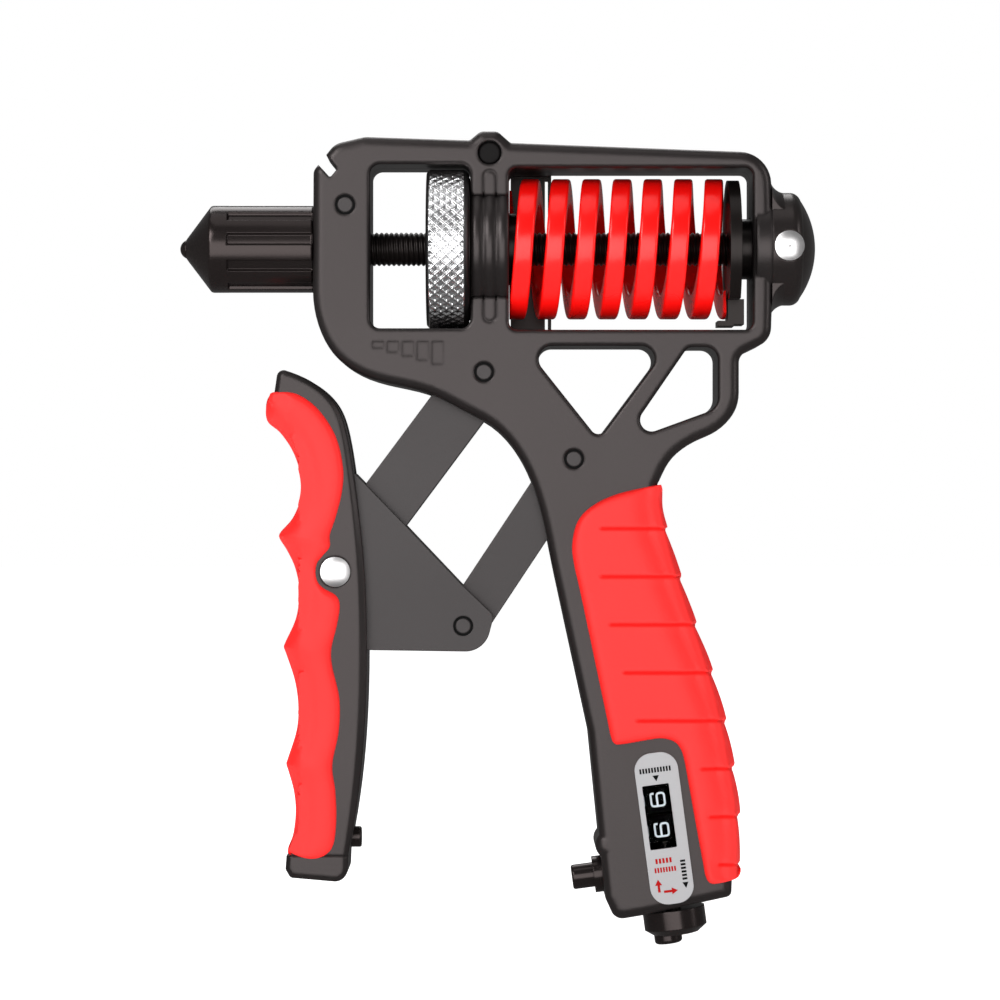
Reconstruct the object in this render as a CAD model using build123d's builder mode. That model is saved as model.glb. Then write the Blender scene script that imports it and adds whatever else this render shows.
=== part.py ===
from build123d import *
import os
from math import asin, cos, hypot, pi, radians, sin

# Hand gripper with counter: R-shaped frame, squeezing finger handle, tension screw.
# Millimetres, +Z up, +X to the palm side, front face towards -Y, origin at the middle of the whole.

# Frame thickness and the layers inside it, as distances from the middle plane
FRAME_HALF = 9.5
RIM_R = 2.0
HANDLE_HALF = 9.0
PLATE_OUT = 6.6
PLATE_IN = 4.4
LINK_HALF = 4.1
LINK_SLOT = 4.5
PLATE_SLOT = 7.0

# Pivots of the linkage (x, z)
PIVOT_A = (-2.7, 33.4)
PIVOT_B = (15.3, 16.0)
PIVOT_C = (-32.5, -6.6)
PIVOT_D = (-6.9, -17.5)
SQUEEZE_DEG = 38.0
LEVER_ARM = 15.7
LEVER_TIP_R = 2.2
LEVER_REST_DEG = 9.5

# Tension screw
AXIS_Z = 58.6
ROD_R = 3.4
BUSH_BORE_R = 3.48
KNOB_R = 8.8
WHEEL_R = 16.1
DRUM_R = 13.8
CAP_R = 11.4
SPRING_R = 14.2
SPRING_WIRE_X = 3.7
SPRING_WIRE_R = 5.0
SPRING_PITCH = 6.18
NUT_X = 46.4

# Palm handle: its long axis leans, and the counter sits on that axis
TILT_DEG = 7.6
COUNTER_X = 33.3
COUNTER_Z = -57.8
COUNTER_Y = -1.6
COUNTER_DRUM_R = 6.8

BACK_SCREWS = [(-31.3, 45.5), (27.0, 14.2), (26.4, -71.2), (8.0, 76.6)]

os.makedirs("parts", exist_ok=True)

tilt = radians(TILT_DEG)
HANDLE_PLANE = Plane(origin=(COUNTER_X, 0, COUNTER_Z), x_dir=(cos(tilt), 0, sin(tilt)), z_dir=(0, -1, 0))


def save(part, label):
    part.label = label
    export_step(part, "parts/" + label + ".step")


def counter_plane(v):
    # plane across the counter axis, v millimetres up the handle from the middle of the label
    return Plane(
        origin=(COUNTER_X - v * sin(tilt), COUNTER_Y, COUNTER_Z + v * cos(tilt)),
        x_dir=(0, 1, 0),
        z_dir=(-sin(tilt), 0, cos(tilt)),
    )


def side_plane(u, v):
    # plane facing along the push of the count button
    return Plane(
        origin=(
            COUNTER_X + u * cos(tilt) - v * sin(tilt),
            0,
            COUNTER_Z + u * sin(tilt) + v * cos(tilt),
        ),
        x_dir=(0, 1, 0),
        z_dir=(cos(tilt), 0, sin(tilt)),
    )


def soften(points):
    # rounds the corners of the sketch being built: each point is (x, z, radius)
    for x, z, r in points:
        if r > 0:
            corner = vertices().sort_by_distance((x, z, 0))[0]
            fillet(corner, radius=r)


def break_edges(edge_list, length):
    # bevels a rim, narrower where the wanted width doesn't fit its tight corners
    for width in (length, length * 0.8, length * 0.6, length * 0.4):
        try:
            chamfer(edge_list, length=width)
            return
        except ValueError:
            continue


def swing(pivot, point, degrees):
    a = radians(degrees)
    dx = point[0] - pivot[0]
    dz = point[1] - pivot[1]
    return (pivot[0] + dx * cos(a) - dz * sin(a), pivot[1] + dx * sin(a) + dz * cos(a))


# ---------------------------------------------------------------- outlines

FRAME_TOP = [
    (-36.9, 73.8, 2.0),
    (-32.6, 79.2, 4.0),
    (-26.6, 80.6, 4.0),
    (-5.6, 79.9, 1.0),
    (-3.4, 81.7, 1.6),
    (0.0, 81.7, 1.6),
    (2.6, 79.4, 1.0),
    (54.7, 77.4, 6.5),
    (55.0, 68.4, 0),
    (55.0, 46.0, 0),
    (54.8, 39.9, 4.0),
    (48.4, 36.8, 2.4),
    (48.4, 29.4, 0),
]
ELBOW = [(47.8, 26.15), (45.8, 23.2), (43.2, 21.2), (39.7, 19.6), (36.2, 17.35), (33.7, 14.3), (32.3, 11.4)]
FRAME_BOTTOM = [
    (47.1, -66.0, 0),
    (46.9, -71.6, 1.2),
    (29.0, -75.5, 0),
    (23.6, -76.4, 2.4),
    (21.6, -72.0, 2.0),
    (18.3, -39.0, 0),
    (11.3, -6.6, 0),
]
PALM_GRIP_LEFT = [
    (41.6, -67.8, 1.6),
    (37.2, -43.4, 2.4),
    (33.6, -39.6, 2.4),
    (23.2, -41.3, 1.2),
    (15.2, -4.6, 0),
]


def frame_outline():
    # closed outline of the frame, corners rounded, no openings
    with BuildSketch(Plane.XZ, mode=Mode.PRIVATE) as shape:
        with BuildLine():
            top = Polyline(*[(x, z) for x, z, r in FRAME_TOP])
            elbow = Spline(top @ 1, *ELBOW, (31.6, 8.0), tangents=[(0, -1), (-0.15, -1)])
            Spline(elbow @ 1, (35.2, -7.4), (41.4, -26.3), (45.7, -45.4), (47.0, -55.0), FRAME_BOTTOM[0][:2])
            low = Polyline(*[(x, z) for x, z, r in FRAME_BOTTOM])
            Spline(
                low @ 1,
                (7.9, 8.4),
                (4.5, 16.2),
                (-1.4, 22.8),
                (-6.5, 25.6),
                (-13.3, 29.0),
                (-25.3, 32.1),
                (-32.6, 36.8),
                (-35.6, 42.0),
                (-37.0, 49.6),
            )
            Line((-37.0, 49.6), top @ 0)
        make_face()
        soften(FRAME_TOP + FRAME_BOTTOM)
    return shape


def rounded_shape(points):
    with BuildSketch(Plane.XZ, mode=Mode.PRIVATE) as shape:
        with BuildLine():
            Polyline(*[(x, z) for x, z, r in points], close=True)
        make_face()
        soften(points)
    return shape


def hull_of(circles):
    # hull of circles (x, z, radius) as a sketch in the middle plane
    with BuildSketch(Plane.XZ, mode=Mode.PRIVATE) as shape:
        for x, z, r in circles:
            with Locations((x, z)):
                Circle(r)
        make_hull()
    return shape.sketch


NOTCH = rounded_shape([(-33.5, 72.3, 0.4), (-32.0, 74.1, 0.4), (-36.8, 80.0, 0), (-39.0, 78.4, 0)])
TRIANGLE_1 = [
    (5.4, 38.65, 2.7),
    (34.1, 38.65, 2.7),
    (20.2, 20.0, 1.6),
]
TRIANGLE_2 = [
    (38.1, 38.4, 1.7),
    (44.1, 38.4, 2.6),
    (44.1, 26.2, 3.0),
    (24.9, 19.2, 2.3),
]

lever_rest = (
    PIVOT_A[0] + LEVER_ARM * sin(radians(LEVER_REST_DEG)),
    PIVOT_A[1] + LEVER_ARM * cos(radians(LEVER_REST_DEG)),
)
lever_mid = swing(PIVOT_A, lever_rest, SQUEEZE_DEG / 2)
lever_end = swing(PIVOT_A, lever_rest, SQUEEZE_DEG)
pivot_c_end = swing(PIVOT_A, PIVOT_C, SQUEEZE_DEG)

lever_space = hull_of(
    [
        (PIVOT_A[0], PIVOT_A[1], 5.8),
        (lever_rest[0], lever_rest[1], LEVER_TIP_R + 0.5),
        (lever_mid[0], lever_mid[1], LEVER_TIP_R + 0.5),
        (lever_end[0], lever_end[1], LEVER_TIP_R + 0.5),
    ]
)
upper_link_space = hull_of(
    [
        (PIVOT_A[0], PIVOT_A[1], 7.0),
        (PIVOT_C[0], PIVOT_C[1], 7.0),
        (pivot_c_end[0], pivot_c_end[1], 7.0),
    ]
)
lower_link_space = hull_of(
    [
        (PIVOT_B[0], PIVOT_B[1], 6.2),
        (PIVOT_D[0], PIVOT_D[1], 6.2),
        (8.0, -24.5, 6.4),
        (25.2, -22.4, 6.6),
    ]
)
plate_space = rounded_shape(
    [
        (32.6, -29.6, 1.0),
        (32.6, -15.6, 1.0),
        (9.0, 2.0, 0),
        (-20.0, 10.0, 0),
        (-20.0, -33.0, 0),
        (16.0, -33.0, 0),
    ]
).sketch


def frame_half(label, outward):
    # outward is +1 for the front half, -1 for the back half
    with BuildPart() as half:
        with BuildSketch(Plane.XZ):
            add(frame_outline().sketch_local)
            with Locations((22.5, -61.3)):
                Circle(2.9)
        extrude(amount=outward * FRAME_HALF)
        # windows with the screw, the wheel and the spring, and the lightening triangles
        with BuildSketch(Plane.XZ):
            with Locations((-15.45, 58.6)):
                RectangleRounded(20.1, 32.8, 2.0)
            with Locations((26.7, 58.1)):
                RectangleRounded(48.8, 32.4, 1.6)
            add(rounded_shape(TRIANGLE_1).sketch_local)
            add(rounded_shape(TRIANGLE_2).sketch_local)
        extrude(amount=outward * FRAME_HALF, mode=Mode.SUBTRACT)
        # rounded rims on the open face
        face = faces().sort_by(Axis.Y)[0 if outward > 0 else -1]
        rims = [wire.edges() for wire in face.inner_wires()]
        fillet(face.outer_wire().edges(), radius=RIM_R)
        for rim in rims:
            fillet(rim, radius=0.8)
        # slanting notch in the upper corner
        extrude(NOTCH.sketch, amount=outward * FRAME_HALF, mode=Mode.SUBTRACT)
        # round shoulder under the end cap
        with BuildSketch(Plane.YZ.offset(51.8)):
            with Locations((0, AXIS_Z)):
                Circle(CAP_R)
            with Locations((outward * 15.0, AXIS_Z)):
                Rectangle(30.0, 40.0, mode=Mode.SUBTRACT)
        extrude(amount=3.2)
        # bore for the drum housing in the bar, screw bores, bush seat
        with BuildSketch(Plane.YZ.offset(-5.6)):
            with Locations((0, AXIS_Z)):
                Circle(DRUM_R)
        extrude(amount=8.1, mode=Mode.SUBTRACT)
        with BuildSketch(Plane.YZ.offset(-40.0)):
            with Locations((0, AXIS_Z)):
                Circle(5.25)
        extrude(amount=20.0, mode=Mode.SUBTRACT)
        with BuildSketch(Plane.YZ.offset(50.0)):
            with Locations((0, AXIS_Z)):
                Circle(6.5)
        extrude(amount=6.0, mode=Mode.SUBTRACT)
        # room for the links, the lever and the coupler plates
        extrude(lever_space, amount=outward * LINK_SLOT, mode=Mode.SUBTRACT)
        extrude(upper_link_space, amount=outward * LINK_SLOT, mode=Mode.SUBTRACT)
        extrude(lower_link_space, amount=outward * LINK_SLOT, mode=Mode.SUBTRACT)
        extrude(plate_space, amount=outward * PLATE_SLOT, mode=Mode.SUBTRACT)
        # pivot pins and bush pin, with a shallow ring round each end
        with BuildSketch(Plane.XZ):
            with Locations(PIVOT_A, PIVOT_B, (-30.5, 66.9)):
                Circle(1.55)
        extrude(amount=outward * FRAME_HALF, mode=Mode.SUBTRACT)
        with BuildSketch(Plane.XZ.offset(outward * (FRAME_HALF - 0.6))):
            with Locations(PIVOT_A, PIVOT_B, (-30.5, 66.9)):
                Circle(2.0)
        extrude(amount=outward * 0.6, mode=Mode.SUBTRACT)
        # counter chamber, axle bore and count button bore
        with BuildSketch(counter_plane(-4.4)):
            Circle(COUNTER_DRUM_R + 0.35)
        extrude(amount=13.6, mode=Mode.SUBTRACT)
        with BuildSketch(counter_plane(-19.0)):
            Circle(1.56)
        extrude(amount=30.0, mode=Mode.SUBTRACT)
        with BuildSketch(side_plane(-17.0, -8.35)):
            Circle(2.56)
        extrude(amount=12.6, mode=Mode.SUBTRACT)
        with BuildSketch(side_plane(-18.0, -8.35)):
            Circle(3.7)
        extrude(amount=6.2, mode=Mode.SUBTRACT)
        if outward > 0:
            # counter window, seat of the plug, slot outline on the bar and five level bars
            with BuildSketch(HANDLE_PLANE.offset(4.0)):
                with Locations((-0.6, 2.4)):
                    Rectangle(5.4, 12.9)
            extrude(amount=8.0, mode=Mode.SUBTRACT)
            with BuildSketch(Plane.XZ.offset(FRAME_HALF - 2.4)):
                with Locations((-1.6, 77.3)):
                    Circle(2.4)
            extrude(amount=3.0, mode=Mode.SUBTRACT)
            with BuildSketch(Plane.XZ.offset(FRAME_HALF - 0.3)):
                with Locations((-1.55, 58.6)):
                    SlotOverall(30.6, 2.9, rotation=90)
                    SlotOverall(29.8, 2.1, rotation=90, mode=Mode.SUBTRACT)
            extrude(amount=0.4, mode=Mode.SUBTRACT)
            with BuildSketch(Plane.XZ.offset(FRAME_HALF - 0.15)):
                for i in range(5):
                    x = -23.9 + 2.98 * i
                    low = 38.6 - 0.27 * (x + 25.1)
                    with Locations((x, (39.6 + low) / 2 - 0.1)):
                        Rectangle(2.3, 39.6 - low)
            extrude(amount=0.4, mode=Mode.SUBTRACT)
        else:
            with BuildSketch(Plane.XZ.offset(-FRAME_HALF)):
                with Locations(*BACK_SCREWS):
                    Circle(2.1)
            extrude(amount=2.4, mode=Mode.SUBTRACT)
    save(half.part, label)


frame_half("frame_front", 1)
frame_half("frame_back", -1)


def on_screw_axis(points, label):
    # turned piece on the screw axis, half profile given as (x, radius)
    with BuildPart() as turned:
        with BuildSketch(Plane.XZ):
            with BuildLine():
                Polyline(*[(x, AXIS_Z + r) for x, r in points], close=True)
            make_face()
        revolve(axis=Axis((0, 0, AXIS_Z), (1, 0, 0)), revolution_arc=360)
    return turned.part


# ---------------------------------------------------------------- screw guides on the frame

with BuildPart() as drum_housing:
    with BuildSketch(Plane.XZ):
        with BuildLine():
            Line((-5.4, AXIS_Z + 11.9), (-5.4, AXIS_Z + DRUM_R - 0.5))
            for i in range(3):
                x0 = -5.4 + 2.567 * i
                ThreePointArc(
                    (x0, AXIS_Z + DRUM_R - 0.5), (x0 + 1.28, AXIS_Z + DRUM_R), (x0 + 2.567, AXIS_Z + DRUM_R - 0.5)
                )
            Polyline(
                (2.301, AXIS_Z + DRUM_R - 0.5),
                (2.301, AXIS_Z + 5.0),
                (1.0, AXIS_Z + 5.0),
                (1.0, AXIS_Z + 11.9),
                (-5.4, AXIS_Z + 11.9),
            )
        make_face()
    revolve(axis=Axis((0, 0, AXIS_Z), (1, 0, 0)), revolution_arc=360)
    extrude(lever_space, amount=LINK_SLOT, both=True, mode=Mode.SUBTRACT)
save(drum_housing.part, "drum_housing")

save(
    on_screw_axis([(1.0, BUSH_BORE_R), (1.0, 5.0), (2.301, 5.0), (2.301, 7.3), (4.1, 7.3), (4.1, BUSH_BORE_R)], ""),
    "guide_bush",
)
save(on_screw_axis([(-36.5, BUSH_BORE_R), (-36.5, 5.25), (-25.5, 5.25), (-25.5, BUSH_BORE_R)], ""), "left_bush")

with BuildPart() as end_cap:
    with BuildSketch(Plane.XZ):
        with BuildLine():
            Polyline((58.6, AXIS_Z + CAP_R - 0.1), (58.6, AXIS_Z + 4.0), (55.0, AXIS_Z + 4.0), (55.0, AXIS_Z + CAP_R + 2.8))
            ThreePointArc(
                (55.0, AXIS_Z + CAP_R + 2.8), (56.1, AXIS_Z + CAP_R + 0.8), (58.6, AXIS_Z + CAP_R - 0.1)
            )
        make_face()
    revolve(axis=Axis((0, 0, AXIS_Z), (1, 0, 0)), revolution_arc=360)
    with Locations((56.0, 0, AXIS_Z)):
        Box(10.0, 2 * FRAME_HALF - 1.6, 60.0, mode=Mode.INTERSECT)
    with BuildSketch(Plane.XZ):
        with BuildLine():
            Polyline((55.0, AXIS_Z), (55.0, AXIS_Z + CAP_R), (59.2, AXIS_Z + CAP_R))
            ThreePointArc((59.2, AXIS_Z + CAP_R), (60.5, AXIS_Z + CAP_R - 0.5), (61.2, AXIS_Z + CAP_R - 1.5))
            ThreePointArc((61.2, AXIS_Z + CAP_R - 1.5), (63.5, AXIS_Z + 5.2), (64.3, AXIS_Z))
            Line((64.3, AXIS_Z), (55.0, AXIS_Z))
        make_face()
    revolve(axis=Axis((0, 0, AXIS_Z), (1, 0, 0)), revolution_arc=360)
    with BuildSketch(Plane.XZ):
        with Locations((58.3, AXIS_Z)):
            Circle(3.0)
    extrude(amount=15, both=True, mode=Mode.SUBTRACT)
save(end_cap.part, "end_cap")


def domed_pin(label, x, z, radius, reach, dome):
    # both ends are shallow domes that rise by dome over the full width
    ball = (radius * radius + dome * dome) / (2 * dome)
    half = asin(radius / ball) / 2
    mid_r = ball * sin(half)
    mid_y = reach - ball + ball * cos(half)
    with BuildPart() as pin:
        with BuildSketch(Plane(origin=(x, 0, z), x_dir=(1, 0, 0), z_dir=(0, 0, 1))):
            with BuildLine():
                Line((0, -reach), (0, reach))
                ThreePointArc((0, reach), (mid_r, mid_y), (radius, reach - dome))
                Line((radius, reach - dome), (radius, dome - reach))
                ThreePointArc((radius, dome - reach), (mid_r, -mid_y), (0, -reach))
            make_face()
        revolve(axis=Axis((x, 0, z), (0, 1, 0)), revolution_arc=360)
    save(pin.part, label)


domed_pin("end_cap_pin", 58.3, AXIS_Z, 3.0, CAP_R + 0.3, 0.5)

with BuildPart() as rear_shield:
    with BuildSketch(Plane.XZ.offset(-14.6)):
        with Locations((6.9, 58.3)):
            RectangleRounded(8.4, 36.0, 1.4)
        with Locations((10.1, 58.3)):
            Rectangle(0.6, 30.8, mode=Mode.SUBTRACT)
    extrude(amount=-1.2)
    with BuildSketch(Plane.XZ.offset(-FRAME_HALF)):
        with Locations((6.9, 75.5), (6.9, 41.1)):
            Rectangle(7.0, 1.6)
    extrude(amount=-5.5)
save(rear_shield.part, "rear_shield")


def flush_pin(label, x, z, reach):
    with BuildPart() as pin:
        with BuildSketch(Plane.XZ):
            with Locations((x, z)):
                Circle(1.55)
        extrude(amount=reach, both=True)
        chamfer(edges().filter_by(GeomType.CIRCLE), length=0.15)
    save(pin.part, label)


flush_pin("upper_pivot_pin", PIVOT_A[0], PIVOT_A[1], FRAME_HALF)
flush_pin("lower_pivot_pin", PIVOT_B[0], PIVOT_B[1], FRAME_HALF)
flush_pin("bush_pin", -30.5, 66.9, FRAME_HALF)

with BuildPart() as top_plug:
    with BuildSketch(Plane.XZ.offset(FRAME_HALF - 2.4)):
        with Locations((-1.6, 77.3)):
            Circle(2.25)
    extrude(amount=1.7)
    fillet(edges().filter_by(GeomType.CIRCLE).sort_by(Axis.Y)[0], radius=0.5)
save(top_plug.part, "top_plug")

with BuildPart() as back_screws:
    with BuildSketch(Plane.XZ.offset(-FRAME_HALF + 2.3)):
        with Locations(*BACK_SCREWS):
            Circle(1.95)
    extrude(amount=-1.8)
    with BuildSketch(Plane.XZ.offset(-FRAME_HALF + 1.4)):
        with Locations(*BACK_SCREWS):
            RegularPolygon(1.05, 6)
    extrude(amount=-2, mode=Mode.SUBTRACT)
save(back_screws.part, "frame_screws")

# spacer rings either side of the links on the two frame pivots
for name, pivot, ring_r in (("upper_spacers", PIVOT_A, 3.6), ("lower_spacers", PIVOT_B, 3.4)):
    with BuildPart() as spacers:
        for side in (1, -1):
            with BuildSketch(Plane.XZ.offset(side * (LINK_HALF + 0.02))):
                with Locations(pivot):
                    Circle(ring_r)
                    Circle(1.55, mode=Mode.SUBTRACT)
            extrude(amount=side * (LINK_SLOT - LINK_HALF - 0.02))
    save(spacers.part, name)

# ---------------------------------------------------------------- palm grip

GRIP_OUT = 1.7
with BuildPart() as palm_grip:
    with BuildSketch(Plane.XZ):
        with BuildLine():
            left = Polyline(*[(x, z) for x, z, r in PALM_GRIP_LEFT])
            Spline(left @ 1, (15.0, -0.8), (19.3, 6.9), (24.5, 9.2), (31.8, 10.7), tangents=[(-0.21, 0.98), (1, 0.1)])
            Polyline((31.8, 10.7), (33.1, 10.2), (33.5, 6.5))
            right = Spline((33.5, 6.5), (37.1, -7.4), (43.4, -26.3), (47.7, -45.4), (48.9, -57.0), (48.8, -66.6))
            Polyline(right @ 1, (47.4, -68.0), (43.0, -69.0), left @ 0)
        make_face()
        soften(PALM_GRIP_LEFT + [(47.4, -68.0, 1.4), (43.0, -69.0, 1.4)])
    extrude(amount=FRAME_HALF + GRIP_OUT, both=True)
    break_edges(edges().filter_by(lambda e: abs(abs(e.center().Y) - FRAME_HALF - GRIP_OUT) < 0.01), 1.0)
    extrude(frame_outline().sketch, amount=FRAME_HALF, both=True, mode=Mode.SUBTRACT)
    starts = (20.3, 20.3, 22.1, 24.9, 27.5, 40.3, 41.9, 43.6)
    for i, start in enumerate(starts):
        for side in (1, -1):
            with BuildSketch(Plane.XZ.offset(side * (FRAME_HALF + GRIP_OUT - 0.6))):
                with Locations(((start + 52.0) / 2, 2.1 - 9.6 * i)):
                    Rectangle(52.0 - start, 0.7)
            extrude(amount=side * 1.0, mode=Mode.SUBTRACT)
save(palm_grip.part, "palm_grip")

# ---------------------------------------------------------------- counter

with BuildPart() as label_plate:
    with BuildSketch(HANDLE_PLANE.offset(FRAME_HALF)):
        RectangleRounded(8.7, 30.4, 3.5)
        with Locations((-0.6, 2.4)):
            RectangleRounded(5.4, 12.9, 0.3, mode=Mode.SUBTRACT)
    extrude(amount=0.6)
save(label_plate.part, "counter_label")

with BuildPart() as lens:
    with BuildSketch(HANDLE_PLANE.offset(FRAME_HALF - 0.6)):
        with Locations((-0.6, 2.4)):
            Rectangle(5.4, 12.9)
    extrude(amount=0.6)
save(lens.part, "counter_lens")

for name, low in (("units_drum", -2.7), ("tens_drum", 3.1)):
    with BuildPart() as drum:
        with BuildSketch(counter_plane(low)):
            Circle(COUNTER_DRUM_R)
            Circle(1.56, mode=Mode.SUBTRACT)
        extrude(amount=5.3)
        with BuildSketch(counter_plane(low + 4.9)):
            Circle(COUNTER_DRUM_R + 1)
            Circle(COUNTER_DRUM_R - 0.5, mode=Mode.SUBTRACT)
        extrude(amount=0.5, mode=Mode.SUBTRACT)
    save(drum.part, name)

with BuildPart() as axle:
    with BuildSketch(counter_plane(-20.9)):
        Circle(1.5)
    extrude(amount=31.4)
save(axle.part, "counter_axle")

# turned knob with a wide bevel, and a small peg off its centre
with BuildPart() as reset_knob:
    with BuildSketch(counter_plane(-20.8)):
        Circle(6.3)
    extrude(amount=3.8)
    with BuildSketch(counter_plane(-20.8)):
        Circle(6.3)
    with BuildSketch(counter_plane(-22.1)):
        Circle(4.5)
    loft()
    with BuildSketch(counter_plane(-23.9)):
        with Locations((0, 1.8)):
            Circle(2.8)
    extrude(amount=1.9)
    fillet(edges().filter_by(GeomType.CIRCLE).sort_by(Axis.Z)[0], radius=0.7)
    with BuildSketch(counter_plane(-20.9)):
        Circle(1.5)
    extrude(amount=5.0, mode=Mode.SUBTRACT)
save(reset_knob.part, "reset_knob")

with BuildPart() as plunger:
    with BuildSketch(side_plane(-19.5, -8.35)):
        Circle(2.5)
    extrude(amount=11.0)
    fillet(edges().filter_by(GeomType.CIRCLE).sort_by(Axis.X)[0], radius=0.5)
save(plunger.part, "count_plunger")

with BuildPart() as plunger_collar:
    with BuildSketch(side_plane(-15.1, -8.35)):
        Circle(3.69)
        Circle(2.57, mode=Mode.SUBTRACT)
    extrude(amount=3.2)
save(plunger_collar.part, "plunger_collar")

# ---------------------------------------------------------------- upper link with its lever

link_dir = (PIVOT_A[0] - PIVOT_C[0], PIVOT_A[1] - PIVOT_C[1])
link_len = hypot(*link_dir)
wide_1 = (PIVOT_C[0] + link_dir[0] * 12 / link_len, PIVOT_C[1] + link_dir[1] * 12 / link_len)
with BuildPart() as upper_link:
    extrude(hull_of([(PIVOT_C[0], PIVOT_C[1], 4.6), (wide_1[0], wide_1[1], 5.8)]), amount=LINK_HALF, both=True)
    extrude(hull_of([(wide_1[0], wide_1[1], 5.8), (PIVOT_A[0], PIVOT_A[1], 5.8)]), amount=LINK_HALF, both=True)
    extrude(
        hull_of([(PIVOT_A[0], PIVOT_A[1], 4.0), (lever_rest[0], lever_rest[1], LEVER_TIP_R)]),
        amount=LINK_HALF,
        both=True,
    )
    with BuildSketch(Plane.XZ):
        with Locations(PIVOT_A):
            Circle(1.61)
        with Locations(PIVOT_C):
            Circle(3.06)
    extrude(amount=LINK_HALF, both=True, mode=Mode.SUBTRACT)
save(upper_link.part, "upper_link")

with BuildPart() as lower_link:
    extrude(
        hull_of([(PIVOT_B[0], PIVOT_B[1], 4.55), (PIVOT_D[0], PIVOT_D[1], 4.55)]), amount=LINK_HALF, both=True
    )
    with BuildSketch(Plane.XZ):
        with Locations(PIVOT_B):
            Circle(1.61)
        with Locations(PIVOT_D):
            Circle(2.9)
    extrude(amount=LINK_HALF, both=True, mode=Mode.SUBTRACT)
save(lower_link.part, "lower_link")

# ---------------------------------------------------------------- finger handle

PLATE_OUTLINE = [
    (-36.0, 13.4, 0),
    (-28.6, 13.1, 0),
    (-18.7, 2.9, 0),
    (-7.2, -9.2, 0),
    (-0.7, -15.4, 2.0),
    (-2.6, -22.7, 5.0),
    (-36.0, -22.2, 0),
]
HANDLE_CORNER = (-44.0, 34.2)


def handle_outline():
    with BuildSketch(Plane.XZ, mode=Mode.PRIVATE) as shape:
        with BuildLine():
            Line((-44.9, 28.0), HANDLE_CORNER)
            Spline(
                HANDLE_CORNER,
                (-39.8, 32.8),
                (-35.2, 30.1),
                (-32.0, 26.4),
                (-30.2, 21.2),
                (-28.9, 13.6),
                (-26.7, -6.0),
                (-26.2, -21.8),
                (-27.3, -46.4),
                (-29.6, -61.6),
            )
            Polyline((-29.6, -61.6), (-29.9, -63.5), (-41.6, -63.5), (-38.9, -58.0), (-38.9, 16.0))
            Spline((-38.9, 16.0), (-41.0, 22.0), (-44.9, 28.0))
        make_face()
        soften([(HANDLE_CORNER[0], HANDLE_CORNER[1], 1.4)])
    return shape


# the upper link swings inside the handle from its rest line to nearly straight up
swing_end = (PIVOT_C[0] + 46 * cos(radians(83.2)), PIVOT_C[1] + 46 * sin(radians(83.2)))
swing_wide = (PIVOT_C[0] + 12 * cos(radians(83.2)), PIVOT_C[1] + 12 * sin(radians(83.2)))
link_space = hull_of(
    [
        (PIVOT_C[0], PIVOT_C[1], 5.0),
        (wide_1[0], wide_1[1], 6.3),
        (-8.0, 22.0, 6.4),
        (swing_end[0], swing_end[1], 6.3),
        (swing_wide[0], swing_wide[1], 6.3),
    ]
)


def handle_half(label, outward):
    with BuildPart() as half:
        extrude(handle_outline().sketch, amount=outward * HANDLE_HALF)
        face = faces().sort_by(Axis.Y)[0 if outward > 0 else -1]
        right = face.outer_wire().edges().filter_by(lambda e: e.center().X > -33.0 and e.center().Z > -60.0)
        break_edges(right, 0.9)
        with BuildSketch(Plane.XZ.offset(outward * PLATE_IN)):
            add(rounded_shape(PLATE_OUTLINE).sketch_local)
        extrude(amount=outward * (PLATE_OUT - PLATE_IN), mode=Mode.SUBTRACT)
        extrude(link_space, amount=outward * LINK_SLOT, mode=Mode.SUBTRACT)
        with BuildSketch(Plane.XZ):
            with Locations(PIVOT_C):
                Circle(3.0)
        extrude(amount=outward * HANDLE_HALF, mode=Mode.SUBTRACT)
        with BuildSketch(Plane.YZ.offset(-33.0)):
            with Locations((0, -60.4)):
                Circle(2.1)
        extrude(amount=8.0, mode=Mode.SUBTRACT)
        if outward < 0:
            with BuildSketch(Plane.XZ.offset(-HANDLE_HALF)):
                with Locations(*HANDLE_SCREWS):
                    Circle(1.9)
            extrude(amount=2.2, mode=Mode.SUBTRACT)
    save(half.part, label)


HANDLE_SCREWS = [(-30.6, 4.2), (-29.0, -18.0), (-29.2, -40.0)]
handle_half("handle_front", 1)
handle_half("handle_back", -1)

with BuildPart() as handle_screws:
    with BuildSketch(Plane.XZ.offset(-HANDLE_HALF + 2.1)):
        with Locations(*HANDLE_SCREWS):
            Circle(1.75)
    extrude(amount=-1.7)
    with BuildSketch(Plane.XZ.offset(-HANDLE_HALF + 1.3)):
        with Locations(*HANDLE_SCREWS):
            RegularPolygon(0.95, 6)
    extrude(amount=-2, mode=Mode.SUBTRACT)
save(handle_screws.part, "handle_screws")

for name, outward in (("coupler_plate_front", 1), ("coupler_plate_back", -1)):
    with BuildPart() as plate:
        with BuildSketch(Plane.XZ.offset(outward * PLATE_IN)):
            add(rounded_shape(PLATE_OUTLINE).sketch_local)
            with Locations(PIVOT_C):
                Circle(3.0, mode=Mode.SUBTRACT)
            with Locations(PIVOT_D):
                Circle(1.55, mode=Mode.SUBTRACT)
        extrude(amount=outward * (PLATE_OUT - PLATE_IN))
        with BuildSketch(Plane.XZ.offset(outward * (PLATE_OUT - 0.5))):
            with Locations(PIVOT_D):
                Circle(2.0)
        extrude(amount=outward * 0.5, mode=Mode.SUBTRACT)
    save(plate.part, name)

flush_pin("coupler_pin", PIVOT_D[0], PIVOT_D[1], PLATE_OUT)
domed_pin("handle_pin", PIVOT_C[0], PIVOT_C[1], 3.0, HANDLE_HALF + 0.7, 0.5)

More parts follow.
